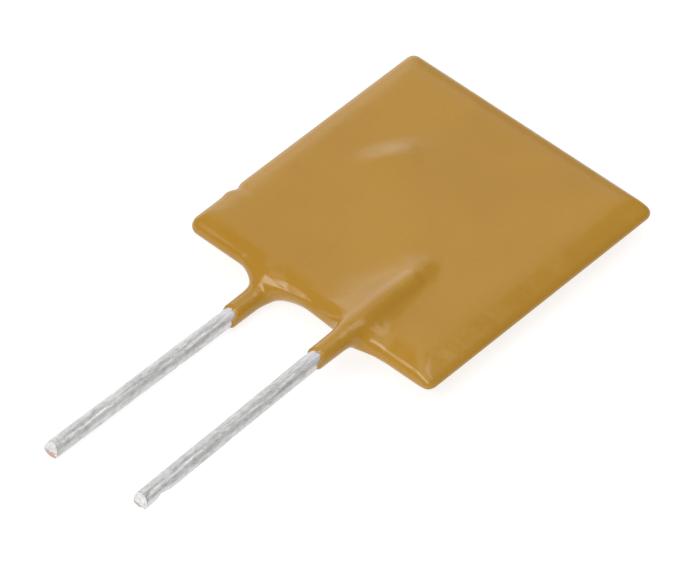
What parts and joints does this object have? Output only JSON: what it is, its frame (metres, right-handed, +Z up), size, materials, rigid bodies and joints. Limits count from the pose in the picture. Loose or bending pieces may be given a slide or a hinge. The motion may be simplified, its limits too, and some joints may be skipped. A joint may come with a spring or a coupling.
{
  "type": "resettable fuse",
  "caption": "Flat square polymer resettable fuse, dipped in glossy ochre epoxy, with parallel tinned wire leads for a circuit board.",
  "frame": {"origin": "centre of the part's outline seen from above, on the surface that it lies on", "axes": "+X across the leads from the rear lead to the front lead, the leads point along -Y, +Z up through the front face"},
  "size_m": [0.0144, 0.028, 0.0024],
  "materials": {
    "epoxy": "glossy dipped epoxy, slightly uneven",
    "carbon_polymer": "dull carbon-filled sheet",
    "nickel_foil": "dull rolled foil",
    "tinned_wire": "dull bright tin with drawing marks, bare copper on the cut ends",
    "solder": "satin solder"
  },
  "bodies": {
    "root": {"epoxy_coating": "epoxy", "ptc_element": "carbon_polymer", "front_electrode": "nickel_foil", "rear_electrode": "nickel_foil", "front_lead": "tinned_wire", "rear_lead": "tinned_wire", "front_solder": "solder", "rear_solder": "solder"}
  },
  "joints": []
}
